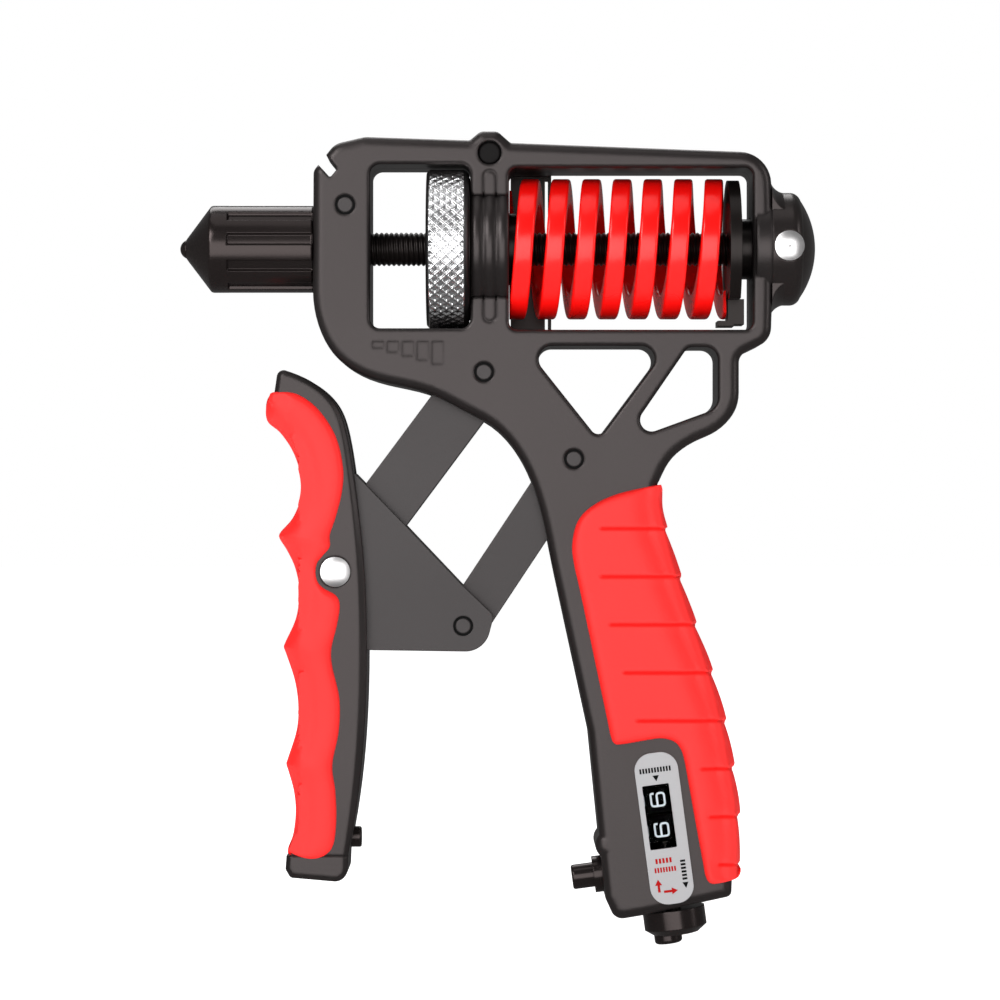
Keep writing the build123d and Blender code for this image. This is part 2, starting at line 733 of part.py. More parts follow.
with BuildPart() as striker:
    with BuildSketch(Plane.YZ.offset(-33.0)):
        with Locations((0, -60.4)):
            Circle(2.1)
    extrude(amount=5.5)
    fillet(edges().filter_by(GeomType.CIRCLE).sort_by(Axis.X)[-1], radius=0.4)
save(striker.part, "striker")

with BuildPart() as foot:
    with BuildSketch(Plane.XZ):
        with BuildLine():
            Polyline((-42.3, -63.5), (-42.5, -66.2), (-41.5, -67.9), (-30.1, -68.9), (-29.9, -63.5), close=True)
        make_face()
        soften([(-42.5, -66.2, 1.0), (-41.5, -67.9, 1.0), (-30.1, -68.9, 2.6)])
    extrude(amount=HANDLE_HALF, both=True)
    low_rims = edges().filter_by(lambda e: abs(abs(e.center().Y) - HANDLE_HALF) < 0.01 and e.center().Z < -64.0)
    break_edges(low_rims, 0.9)
save(foot.part, "handle_foot")

FINGER_OUT = 1.5
with BuildPart() as finger_grip:
    with BuildSketch(Plane.XZ):
        with BuildLine():
            silhouette = Spline(
                (-45.9, 28.6),
                (-46.1, 23.6),
                (-43.2, 21.0),
                (-39.6, 12.6),
                (-40.6, 5.2),
                (-43.8, 0.6),
                (-40.6, -6.4),
                (-40.2, -13.6),
                (-42.9, -21.8),
                (-40.4, -29.4),
                (-40.2, -37.6),
                (-42.4, -45.3),
                (-40.8, -52.0),
                (-42.1, -62.9),
            )
            Spline(silhouette @ 1, (-37.6, -63.0), (-32.6, -61.0), tangents=[(1, 0), (0.6, 0.8)])
            Spline(
                (-32.6, -61.0),
                (-32.2, -53.0),
                (-32.9, -45.0),
                (-31.5, -35.0),
                (-33.1, -23.6),
                (-31.4, -13.2),
                (-35.2, -10.0),
                (-36.3, -6.6),
                (-35.2, -3.6),
                (-33.3, 1.0),
                (-31.2, 7.6),
                (-30.8, 14.6),
                (-33.4, 22.6),
                (-40.3, 29.2),
                (-45.9, 28.6),
            )
        make_face()
    extrude(amount=HANDLE_HALF + FINGER_OUT, both=True)
    break_edges(edges().filter_by(lambda e: abs(abs(e.center().Y) - HANDLE_HALF - FINGER_OUT) < 0.01), 0.9)
    extrude(handle_outline().sketch, amount=HANDLE_HALF, both=True, mode=Mode.SUBTRACT)
    with BuildSketch(Plane.XZ):
        with Locations(PIVOT_C):
            Circle(3.3)
    extrude(amount=20, both=True, mode=Mode.SUBTRACT)
save(finger_grip.part, "finger_grip")

# ---------------------------------------------------------------- tension screw

save(
    on_screw_axis(
        [(-5.7, ROD_R), (-5.7, 14.4), (-5.5, 14.4), (-5.5, 11.2), (-2.8, 11.2), (-2.8, ROD_R)], ""
    ),
    "thrust_collar",
)

with BuildPart() as lead_screw:
    with BuildSketch(Plane.YZ.offset(-54.0)):
        with Locations((0, AXIS_Z)):
            Circle(ROD_R)
    extrude(amount=108.4)
    chamfer(edges().filter_by(GeomType.CIRCLE), length=0.5)
save(lead_screw.part, "lead_screw")

with BuildPart() as wheel:
    with BuildSketch(Plane.YZ.offset(-14.3)):
        with Locations((0, AXIS_Z)):
            Circle(WHEEL_R)
    extrude(amount=8.58)
    chamfer(edges().filter_by(GeomType.CIRCLE), length=0.7)
    with BuildSketch(Plane.YZ.offset(-15.0)):
        with Locations((0, AXIS_Z)):
            Circle(ROD_R)
    extrude(amount=10.0, mode=Mode.SUBTRACT)
save(wheel.part, "thumb_wheel")

with BuildPart() as knob:
    with BuildSketch(Plane.XZ):
        with BuildLine():
            Polyline(
                (-63.0, AXIS_Z),
                (-63.0, AXIS_Z + 2.1),
                (-57.9, AXIS_Z + KNOB_R - 0.2),
                (-57.6, AXIS_Z + KNOB_R),
                (-37.1, AXIS_Z + KNOB_R),
                (-37.1, AXIS_Z + ROD_R),
                (-54.0, AXIS_Z + ROD_R),
                (-54.0, AXIS_Z),
                close=True,
            )
        make_face()
    revolve(axis=Axis((0, 0, AXIS_Z), (1, 0, 0)), revolution_arc=360)
    with BuildSketch(Plane.YZ.offset(-54.4)):
        with Locations((0, AXIS_Z)):
            with PolarLocations(KNOB_R + 1.2, 10):
                Circle(1.75)
    extrude(amount=20.0, mode=Mode.SUBTRACT)
save(knob.part, "cone_knob")

with BuildPart() as tip:
    with Locations((-62.3, 0, AXIS_Z)):
        Sphere(2.0)
    split(bisect_by=Plane.YZ.offset(-63.0), keep=Keep.BOTTOM)
save(tip.part, "cone_tip")

with BuildPart() as spring_nut:
    with BuildSketch(Plane.YZ.offset(NUT_X)):
        with Locations((0, AXIS_Z)):
            Circle(13.9)
        with Locations((0, 40.0)):
            Rectangle(40.0, 16.4, mode=Mode.SUBTRACT)
    extrude(amount=2.3)
    with BuildSketch(Plane.YZ.offset(NUT_X)):
        with Locations((0, 45.75)):
            Rectangle(8.0, 5.1)
    extrude(amount=3.3)
    with BuildSketch(Plane.YZ.offset(NUT_X - 2.0)):
        with Locations((0, 43.4)):
            Rectangle(8.0, 1.1)
    extrude(amount=3.3)
    with BuildSketch(Plane.YZ.offset(NUT_X)):
        with Locations((0, AXIS_Z)):
            Circle(6.1)
    extrude(amount=4.9)
    with BuildSketch(Plane.YZ.offset(40.0)):
        with Locations((0, AXIS_Z)):
            Circle(BUSH_BORE_R)
    extrude(amount=20.0, mode=Mode.SUBTRACT)
save(spring_nut.part, "spring_nut")

# ---------------------------------------------------------------- main spring

SPRING_X0 = 2.4
SPRING_X1 = NUT_X - 0.35
with BuildPart() as spring:
    with BuildLine(mode=Mode.PRIVATE) as path:
        Helix(
            pitch=SPRING_PITCH,
            height=SPRING_PITCH * 7.6,
            radius=SPRING_R - SPRING_WIRE_R / 2,
            center=(0.6, 0, AXIS_Z),
            direction=(1, 0, 0),
            lefthand=True,
        )
    start = path.line @ 0
    with BuildSketch(Plane(origin=start, x_dir=(1, 0, 0), z_dir=path.line % 0), mode=Mode.PRIVATE) as wire:
        Rectangle(SPRING_WIRE_X, SPRING_WIRE_R)
    sweep(wire.sketch, path=path.line, is_frenet=True)
    with Locations(((SPRING_X0 + SPRING_X1) / 2, 0, AXIS_Z)):
        Box(SPRING_X1 - SPRING_X0, 40, 40, mode=Mode.INTERSECT)
save(spring.part, "main_spring")
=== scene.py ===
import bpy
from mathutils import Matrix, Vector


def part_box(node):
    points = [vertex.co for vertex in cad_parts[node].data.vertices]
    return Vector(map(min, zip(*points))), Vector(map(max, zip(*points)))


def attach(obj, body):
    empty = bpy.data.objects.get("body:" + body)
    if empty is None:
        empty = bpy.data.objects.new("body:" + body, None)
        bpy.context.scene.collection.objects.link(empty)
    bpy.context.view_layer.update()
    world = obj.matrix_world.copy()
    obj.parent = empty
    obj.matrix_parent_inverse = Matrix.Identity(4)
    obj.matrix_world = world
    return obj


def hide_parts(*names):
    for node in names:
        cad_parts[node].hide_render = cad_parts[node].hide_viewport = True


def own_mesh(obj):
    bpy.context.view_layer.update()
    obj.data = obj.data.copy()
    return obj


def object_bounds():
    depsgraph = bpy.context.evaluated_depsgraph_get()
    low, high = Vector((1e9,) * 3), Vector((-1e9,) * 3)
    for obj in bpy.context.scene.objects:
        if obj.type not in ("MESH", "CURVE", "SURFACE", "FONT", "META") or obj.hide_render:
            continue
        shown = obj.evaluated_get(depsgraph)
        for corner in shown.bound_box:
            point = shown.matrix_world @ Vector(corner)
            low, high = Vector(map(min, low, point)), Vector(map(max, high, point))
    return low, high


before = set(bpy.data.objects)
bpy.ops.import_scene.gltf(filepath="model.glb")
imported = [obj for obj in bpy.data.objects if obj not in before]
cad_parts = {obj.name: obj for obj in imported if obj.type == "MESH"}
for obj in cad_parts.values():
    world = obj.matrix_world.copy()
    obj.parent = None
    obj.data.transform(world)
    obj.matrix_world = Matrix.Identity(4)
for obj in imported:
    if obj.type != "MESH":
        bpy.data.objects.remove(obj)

import math

import bpy
import bmesh
import numpy as np
from mathutils import Vector
from mathutils.bvhtree import BVHTree
from mathutils.geometry import delaunay_2d_cdt

CAD_LOW, CAD_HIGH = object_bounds()
MM = 0.001
TAU = 2 * math.pi

# the screw's axis and the ends of the turned pieces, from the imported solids, in millimetres
ROD_LOW, ROD_HIGH = (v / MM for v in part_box("lead_screw"))
AXIS_Z = (ROD_LOW.z + ROD_HIGH.z) / 2
ROD_R = (ROD_HIGH.z - ROD_LOW.z) / 2
WHEEL_LOW, WHEEL_HIGH = (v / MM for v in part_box("thumb_wheel"))
SPRING_LOW, SPRING_HIGH = (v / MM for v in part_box("main_spring"))
KNOB_LOW, KNOB_HIGH = (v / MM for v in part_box("cone_knob"))


# ---------------------------------------------------------------- materials

PATCH = 25.0  # scale of the slow noise that colour and roughness follow
BUMP_HEIGHT = 0.0004


def material(name, color, rough, metallic=0.0, grain=400.0, bump=0.03, spread=0.06, rim=0.0, tint=0.08,
             specular=0.5):
    # a shader whose colour varies by tint, roughness by spread and surface by bump, with procedural noise;
    # its edges are softened in the shading over rim metres
    m = bpy.data.materials.new(name)
    m.use_nodes = True
    nodes, links = m.node_tree.nodes, m.node_tree.links
    shader = nodes["Principled BSDF"]
    shader.inputs["Base Color"].default_value = (*color, 1.0)
    shader.inputs["Metallic"].default_value = metallic
    shader.inputs["Roughness"].default_value = rough
    shader.inputs["Specular IOR Level"].default_value = specular
    where = nodes.new("ShaderNodeTexCoord")
    fine = nodes.new("ShaderNodeTexNoise")
    fine.inputs["Scale"].default_value = grain
    fine.inputs["Detail"].default_value = 6.0
    coarse = nodes.new("ShaderNodeTexNoise")
    coarse.inputs["Scale"].default_value = PATCH
    coarse.inputs["Detail"].default_value = 4.0
    links.new(where.outputs["Object"], fine.inputs["Vector"])
    links.new(where.outputs["Object"], coarse.inputs["Vector"])
    ramp = nodes.new("ShaderNodeValToRGB")
    ramp.color_ramp.elements[0].position = 0.3
    ramp.color_ramp.elements[1].position = 0.72
    ramp.color_ramp.elements[0].color = (*[c * (1 - tint) for c in color], 1.0)
    ramp.color_ramp.elements[1].color = (*[min(1.0, c * (1 + tint)) for c in color], 1.0)
    links.new(coarse.outputs["Fac"], ramp.inputs["Fac"])
    links.new(ramp.outputs["Color"], shader.inputs["Base Color"])
    vary = nodes.new("ShaderNodeMapRange")
    vary.inputs["From Min"].default_value = 0.25
    vary.inputs["From Max"].default_value = 0.75
    vary.inputs["To Min"].default_value = max(0.02, rough - spread)
    vary.inputs["To Max"].default_value = min(1.0, rough + spread)
    links.new(coarse.outputs["Fac"], vary.inputs["Value"])
    links.new(vary.outputs["Result"], shader.inputs["Roughness"])
    bumps = nodes.new("ShaderNodeBump")
    bumps.inputs["Strength"].default_value = bump
    bumps.inputs["Distance"].default_value = BUMP_HEIGHT
    links.new(fine.outputs["Fac"], bumps.inputs["Height"])
    if rim:
        soft = nodes.new("ShaderNodeBevel")
        soft.samples = 8
        soft.inputs["Radius"].default_value = rim
        links.new(soft.outputs["Normal"], bumps.inputs["Normal"])
    links.new(bumps.outputs["Normal"], shader.inputs["Normal"])
    return m


FRAME_GREY = material("frame_grey", (0.050, 0.043, 0.0425), 0.38, metallic=0.8, bump=0.05, grain=1400, rim=0.0009)
LINK_GREY = material("link_grey", (0.048, 0.043, 0.043), 0.44, metallic=0.6, bump=0.06, grain=1400, rim=0.0003)
BLACK_GLOSS = material("black_gloss", (0.038, 0.030, 0.029), 0.22, metallic=0.8, bump=0.02, rim=0.0003)
BLACK_METAL = material("black_metal", (0.018, 0.014, 0.013), 0.34, metallic=0.7, bump=0.04, rim=0.00015)
GRIP_RED = material("grip_red", (0.92, 0.015, 0.013), 0.52, bump=0.06, grain=1500, spread=0.05, tint=0.02,
                    specular=0.4)
SPRING_RED = material("spring_red", (0.90, 0.004, 0.003), 0.26, bump=0.03, tint=0.04, specular=0.5)
CHROME = material("chrome_pin", (0.95, 0.93, 0.93), 0.30, metallic=1.0, bump=0.01, spread=0.03, tint=0.02)
WHEEL_METAL = material("wheel_metal", (0.95, 0.95, 0.96), 0.24, metallic=1.0, bump=0.02, spread=0.04, tint=0.03)
# a dark copy of the wheel's metal: painted shade for the wheel's two ends
WHEEL_END_SHADE = material("wheel_end_shade", (0.10, 0.095, 0.095), 0.5, metallic=1.0, bump=0.03)
LABEL_GREY = material("label_grey", (0.37, 0.37, 0.38), 0.42, bump=0.02, tint=0.02)
DRUM_BLACK = material("drum_black", (0.0018, 0.0018, 0.002), 0.8, bump=0.03, specular=0.0)
DIGIT_PALE = material("digit_pale", (0.58, 0.65, 0.70), 0.5, bump=0.02, tint=0.02)
# black for the printed label marks, and also painted shade for the dark rings in the pins' grooves
INK_AND_SHADE_BLACK = material("ink_and_shade_black", (0.006, 0.006, 0.006), 0.8, bump=0.02, specular=0.05)
PLUG_BLACK = material("plug_black", (0.006, 0.005, 0.005), 0.6, bump=0.05, specular=0.15)
CAP_GLOSS = material("cap_gloss", (0.048, 0.040, 0.039), 0.34, metallic=0.8, bump=0.02, rim=0.0004)
MARK_RED = material("mark_red", (0.38, 0.004, 0.004), 0.6, bump=0.02, specular=0.1)

LENS = material("lens_clear", (1.0, 1.0, 1.0), 0.03, bump=0.004, spread=0.01, tint=0.0, specular=0.2)
LENS.node_tree.nodes["Principled BSDF"].inputs["Transmission Weight"].default_value = 1.0
LENS.node_tree.nodes["Principled BSDF"].inputs["IOR"].default_value = 1.04


def paint(node, m):
    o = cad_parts[node]
    o.data.materials.clear()
    o.data.materials.append(m)


for m, names in (
        (FRAME_GREY, ("frame_front", "frame_back", "handle_front", "handle_back", "drum_housing", "handle_foot")),
        (LINK_GREY, ("upper_link", "lower_link", "coupler_plate_front", "coupler_plate_back", "coupler_pin",
                     "upper_pivot_pin", "lower_pivot_pin", "bush_pin", "upper_spacers", "lower_spacers")),
        (CAP_GLOSS, ("end_cap",)),
        (BLACK_GLOSS, ("cone_knob", "cone_tip", "reset_knob", "count_plunger", "striker", "plunger_collar")),
        (PLUG_BLACK, ("top_plug",)),
        (BLACK_METAL, ("frame_screws", "handle_screws", "lead_screw", "thrust_collar", "spring_nut", "guide_bush",
                       "left_bush", "rear_shield", "counter_axle")),
        (GRIP_RED, ("palm_grip", "finger_grip")),
        (SPRING_RED, ("main_spring",)),
        (CHROME, ("handle_pin", "end_cap_pin")),
        (WHEEL_METAL, ("thumb_wheel",)),
        (LABEL_GREY, ("counter_label",)),
        (LENS, ("counter_lens",)),
        (DRUM_BLACK, ("units_drum", "tens_drum"))):
    for node in names:
        paint(node, m)


# ---------------------------------------------------------------- mesh helpers

def piece(name, points, faces, body, m, replaces=(), angle=35.0):
    # a new mesh piece from points in millimetres in the row frame
    mesh = bpy.data.meshes.new(name)
    mesh.from_pydata([tuple(p) for p in np.asarray(points, float) * MM], [], [list(map(int, f)) for f in faces])
    work = bmesh.new()
    work.from_mesh(mesh)
    bmesh.ops.remove_doubles(work, verts=work.verts, dist=1e-7)
    bmesh.ops.recalc_face_normals(work, faces=work.faces)
    work.to_mesh(mesh)
    work.free()
    mesh.validate()
    mesh.polygons.foreach_set("use_smooth", [True] * len(mesh.polygons))
    mesh.set_sharp_from_angle(angle=math.radians(angle))
    mesh.materials.append(m)
    o = bpy.data.objects.new(name, mesh)
    bpy.context.scene.collection.objects.link(o)
    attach(o, body)
    if replaces:
        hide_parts(*replaces)
    return o


def rings_to_faces(count, around, low_cap=True, high_cap=True):
    # quads between successive closed rings, with an n-gon over each end
    faces = []
    for i in range(count - 1):
        a, b = i * around, (i + 1) * around
        for j in range(around):
            k = (j + 1) % around
            faces.append((a + j, a + k, b + k, b + j))
    if low_cap:
        faces.append(tuple(range(around))[::-1])
    if high_cap:
        faces.append(tuple((count - 1) * around + j for j in range(around)))
    return faces


def ring(x, r, a):
    # points about the screw's axis at station x, radius r and angle a from straight up
    x, r, a = np.broadcast_arrays(x, r, a)
    return np.stack([x, -r * np.sin(a), AXIS_Z + r * np.cos(a)], 1)


def turned(profile, around, relief):
    # a ring for each (x, radius) of the profile; relief(x, angle) is cut away from the radius
    angle = np.arange(around) * TAU / around
    return np.concatenate([ring(x, r - relief(x, angle), angle) for x, r in profile])


def smooth(t):
    # from 0 to 1 with no slope at either end
    t = np.clip(t, 0.0, 1.0)
    return t * t * (3 - 2 * t)


# ---------------------------------------------------------------- main spring, a coil of flat wire

SPRING_R = (SPRING_HIGH.z - SPRING_LOW.z) / 2
PITCH = 6.18
WIRE_X, WIRE_R, WIRE_CORNER = 3.7, 5.0, 0.55
WIRE_END = 1.3  # how far the wire runs on past its ground ends
TOP_X = 6.8  # where a coil passes straight over the axis
STEPS_PER_TURN = 60
SPLIT_X = TOP_X + PITCH * 4.25  # between the half on the frame and the half on the rod's carriage


def wire_section():
    # a rectangle with rounded corners, along the axis and out from it
    pts = []
    for cx, cr, start in ((1, 1, 0), (-1, 1, 90), (-1, -1, 180), (1, -1, 270)):
        for k in range(5):
            a = math.radians(start + 22.5 * k)
            pts.append((cx * (WIRE_X / 2 - WIRE_CORNER) + WIRE_CORNER * math.cos(a),
                        cr * (WIRE_R / 2 - WIRE_CORNER) + WIRE_CORNER * math.sin(a)))
    return np.array(pts)


def coil(x_from, x_to):
    # the flat wire from centre x_from to x_to; it winds to the left, and its ends are ground flat
    section = wire_section()
    steps = int((x_to - x_from) / PITCH * STEPS_PER_TURN)
    rows = []
    for x in np.linspace(x_from, x_to, steps + 1):
        along = np.clip(x + section[:, 0], SPRING_LOW.x, SPRING_HIGH.x)
        rows.append(ring(along, SPRING_R - WIRE_R / 2 + section[:, 1], -(x - TOP_X) / PITCH * TAU))
    return np.concatenate(rows), rings_to_faces(steps + 1, len(section))


for name, x_from, x_to, body, joint, fixed, length in (
        ("spring_coil_left", SPRING_LOW.x - WIRE_END, SPLIT_X, "frame", "rod_pull", SPRING_LOW.x,
         SPLIT_X - SPRING_LOW.x),
        ("spring_coil_right", SPLIT_X, SPRING_HIGH.x + WIRE_END, "rod_carriage", "nut_travel", SPLIT_X,
         SPRING_HIGH.x - SPLIT_X)):
    pts, faces = coil(x_from, x_to)
    half = piece(name, pts, faces, body, SPRING_RED, ["main_spring"], angle=50)
    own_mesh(half)


# ---------------------------------------------------------------- threaded rod, wheel and cone knob

THREAD, THREAD_DEPTH = 1.0, 0.34
ROD_CHAMFER = 0.5
ROD_AROUND = 40


def thread(x, a):
    if not ROD_LOW.x < x < ROD_HIGH.x:
        return 0 * a
    wave = np.abs(((x / THREAD - a / TAU) % 1.0) * 2 - 1)
    return THREAD_DEPTH * smooth(wave * 1.3 - 0.2)


threaded = np.arange(ROD_LOW.x + ROD_CHAMFER, ROD_HIGH.x - ROD_CHAMFER + 0.05, THREAD / 8)
profile = ([(ROD_LOW.x, ROD_R - ROD_CHAMFER)] + [(x, ROD_R) for x in threaded]
           + [(ROD_HIGH.x, ROD_R - ROD_CHAMFER)])
piece("threaded_rod", turned(profile, ROD_AROUND, thread), rings_to_faces(len(profile), ROD_AROUND), "screw",
      BLACK_METAL, ["lead_screw"], angle=60)

WHEEL_R = (WHEEL_HIGH.z - WHEEL_LOW.z) / 2
DIAMONDS, DIAMOND_X, KNURL_DEPTH = 48, 2.28, 0.36
FINE = 16  # steps across one diamond
SEAT = 0.02  # clearance of the turned pieces round the rod


def knurl(u, v):
    # depth cut below the crests of two crossing families of ridges
    one = 1 - np.abs(((u + v) % 1.0) * 2 - 1)
    two = 1 - np.abs(((u - v) % 1.0) * 2 - 1)
    return KNURL_DEPTH * np.minimum(smooth(one * 2.2 - 0.2), smooth(two * 2.2 - 0.2))


N = DIAMONDS * FINE
KNURL_TURN = np.arange(N) / FINE
wheel_mid = (WHEEL_LOW.x + WHEEL_HIGH.x) / 2 - 0.2
half_steps = int((WHEEL_HIGH.x - WHEEL_LOW.x - 1.7) / 2 / DIAMOND_X * FINE)
band = [wheel_mid + i * DIAMOND_X / FINE for i in range(-half_steps, half_steps + 1)]
profile = [(WHEEL_LOW.x, ROD_R + SEAT), (WHEEL_LOW.x, 6.2), (WHEEL_LOW.x + 0.35, 6.6), (WHEEL_LOW.x + 0.35, 12.8),
           (WHEEL_LOW.x, 13.2), (WHEEL_LOW.x, WHEEL_R - 0.7), (WHEEL_LOW.x + 0.5, WHEEL_R - 0.12)]
first = len(profile)
profile += [(x, WHEEL_R) for x in band]
profile += [(WHEEL_HIGH.x - 0.9, WHEEL_R - 0.12), (WHEEL_HIGH.x - 0.5, WHEEL_R - 0.3),
            (WHEEL_HIGH.x, WHEEL_R - 0.9), (WHEEL_HIGH.x, ROD_R + SEAT)]


def knurled(x, a):
    # the knurl fades out at both edges of its band
    if not band[0] <= x <= band[-1]:
        return 0 * a
    return knurl(KNURL_TURN, (x - wheel_mid) / DIAMOND_X) * smooth((min(x - band[0], band[-1] - x) + 0.05) / 0.3)


# each quad of the band is split along the ridge that crosses it
faces = []
for i in range(len(profile) - 1):
    for j in range(N):
        k = (j + 1) % N
        p, q, m, n = i * N + j, i * N + k, (i + 1) * N + k, (i + 1) * N + j
        if not first <= i < first + len(band) - 1:
            faces.append((p, q, m, n))
            continue
        u, v = (j + 0.5) / FINE, (i - first - half_steps + 0.5) / FINE
        if abs((u + v + 0.5) % 1.0 - 0.5) < abs((u - v + 0.5) % 1.0 - 0.5):
            faces += [(q, m, n), (q, n, p)]
        else:
            faces += [(p, q, m), (p, m, n)]
wheel = piece("knurled_wheel", turned(profile, N, knurled), faces, "screw", WHEEL_METAL,
              ["thumb_wheel"], angle=75)
# the faces at both ends of the wheel take the dark copy: painted shade on the wheel's sides
wheel.data.materials.append(WHEEL_END_SHADE)
for face in wheel.data.polygons:
    if face.center.x - WHEEL_LOW.x * MM < 0.5 * MM or WHEEL_HIGH.x * MM - face.center.x < 0.92 * MM:
        face.material_index = 1

KNOB_R = (KNOB_HIGH.z - KNOB_LOW.z) / 2
KNOB_AROUND = 400
FLUTES, FLUTE_DEPTH, FLUTE_X = 10, 0.62, -54.4
FLUTE_AT = math.radians(80.0)
FLUTE_HALF, FLUTE_WALL = math.radians(8.0), math.radians(1.3)


def flute(x, a):
    # flat channels with blunt ends, open at the knob's right end
    if not FLUTE_X <= x < KNOB_HIGH.x - 0.01:
        return 0 * a
    off = (a - FLUTE_AT + TAU / FLUTES / 2) % (TAU / FLUTES) - TAU / FLUTES / 2
    return FLUTE_DEPTH * smooth((FLUTE_HALF - np.abs(off)) / FLUTE_WALL) * smooth((x - FLUTE_X) / 0.3)


profile = [(KNOB_LOW.x, 1.95), (KNOB_LOW.x + 0.15, 2.2), (-58.15, KNOB_R - 0.4), (-57.9, KNOB_R - 0.12)]
profile += [(x, KNOB_R) for x in (-57.5, -56.6, -55.4, -54.7, -54.4, -54.3, -54.2, -54.1, -53.9, -50.0, -44.0,
                                  -38.0, KNOB_HIGH.x - 0.3)]
profile += [(KNOB_HIGH.x, KNOB_R - 0.3), (KNOB_HIGH.x, ROD_R + SEAT)]
piece("fluted_knob", turned(profile, KNOB_AROUND, flute),
      rings_to_faces(len(profile), KNOB_AROUND, True, False), "screw", BLACK_GLOSS, ["cone_knob"],
      angle=32)


# ---------------------------------------------------------------- dark rings of painted shade in the grooves round the pins' ends

GROOVE_AROUND = 48


def groove(name, pin, body, inner, outer, sunk, both=True):
    # a flat dark ring of painted shade below each end of the pin, or below its front end only
    low, high = (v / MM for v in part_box(pin))
    cx, cz = (low.x + high.x) / 2, (low.z + high.z) / 2
    points, faces = [], []
    for y in ((low.y + sunk, high.y - sunk) if both else (low.y + sunk,)):
        base = len(points)
        for r in (inner, outer):
            points += [(cx + r * math.cos(TAU * i / GROOVE_AROUND), y, cz + r * math.sin(TAU * i / GROOVE_AROUND))
                       for i in range(GROOVE_AROUND)]
        for i in range(GROOVE_AROUND):
            p, q = base + i, base + (i + 1) % GROOVE_AROUND
            faces.append((p, q, q + GROOVE_AROUND, p + GROOVE_AROUND))
    piece(name, points, faces, body, INK_AND_SHADE_BLACK)


for name, pin, body in (("painted_shade_upper_pivot", "upper_pivot_pin", "frame"),
                        ("painted_shade_lower_pivot", "lower_pivot_pin", "frame"),
                        ("painted_shade_bush_pin", "bush_pin", "frame"),
                        ("painted_shade_coupler_pin", "coupler_pin", "finger_handle")):
    groove(name, pin, body, 1.56, 1.98, 0.1)
groove("painted_shade_top_plug", "top_plug", "frame", 2.27, 2.39, 0.3, both=False)


# ---------------------------------------------------------------- soft grips

def curve(points, per=8, closed=True):
    # smooth line through the points, Catmull-Rom
    p = np.array(points, float)
    n = len(p)
    out = []
    last = n if closed else n - 1
    for i in range(last):
        a = p[(i - 1) % n] if closed or i > 0 else p[i]
        b, c = p[i], p[(i + 1) % n]
        d = p[(i + 2) % n] if closed or i + 2 < n else c
        for k in range(per):
            t = k / per
            out.append(0.5 * (2 * b + (c - a) * t + (2 * a - 5 * b + 4 * c - d) * t * t
                              + (3 * b - a - 3 * c + d) * t ** 3))
    if not closed:
        out.append(p[-1])
    return np.array(out)


def resample(line, step):
    # a closed line with even spacing
    loop = np.vstack([line, line[:1]])
    seg = np.linalg.norm(np.diff(loop, axis=0), axis=1)
    s = np.concatenate([[0], np.cumsum(seg)])
    n = max(8, int(s[-1] / step))
    at = np.arange(n) * s[-1] / n
    return np.stack([np.interp(at, s, loop[:, 0]), np.interp(at, s, loop[:, 1])], 1)


def away(points, line, closed):
    # distance from each point to a line of segments
    a = line if closed else line[:-1]
    b = np.roll(line, -1, axis=0) if closed else line[1:]
    best = np.full(len(points), 1e9)
    for i in range(len(a)):
        ab = b[i] - a[i]
        t = np.clip(((points - a[i]) @ ab) / max(ab @ ab, 1e-12), 0, 1)
        best = np.minimum(best, np.linalg.norm(points - (a[i] + t[:, None] * ab), axis=1))
    return best


def inside(points, loop):
    # whether each point is inside a closed line, by counting crossings
    x, z = points[:, 0], points[:, 1]
    hit = np.zeros(len(points), bool)
    for i in range(len(loop)):
        (x1, z1), (x2, z2) = loop[i - 1], loop[i]
        cross = (z1 > z) != (z2 > z)
        with np.errstate(divide="ignore", invalid="ignore"):
            at = (x2 - x1) * (z - z1) / (z2 - z1) + x1
        hit ^= cross & (x < at)
    return hit


def rounded(d, reach, low, high):
    # a quarter of an ellipse, from low at distance 0 to high at reach
    u = 1 - np.clip(d / reach, 0, 1)
    return low + (high - low) * np.sqrt(1 - u * u)


SIDES = 8


def core_depth(points, node, reach=0.0):
    # how far the hard core under a grip reaches from the middle plane, at each point or within reach of it
    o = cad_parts[node]
    tree = BVHTree.FromPolygons([o.matrix_world @ q.co for q in o.data.vertices],
                                [tuple(q.vertices) for q in o.data.polygons])
    depth = np.zeros(len(points))
    near = [(0, 0)]
    if reach:
        near += [(reach * math.cos(k * TAU / SIDES), reach * math.sin(k * TAU / SIDES)) for k in range(SIDES)]
    for dx, dz in near:
        for i, (x, z) in enumerate(points):
            hit = tree.ray_cast(Vector(((x + dx) * MM, -0.05, (z + dz) * MM)), Vector((0, 1, 0)))[0]
            if hit is not None and hit.y < 0:
                depth[i] = max(depth[i], -hit.y / MM)
    return depth


CELL, RIM_STEP = 0.9, 0.55
RIM_RINGS = (0.06, 0.18, 0.38, 0.66, 1.0, 1.4)
GRID_OFF = 1.9  # the plain grid keeps this far off the rim


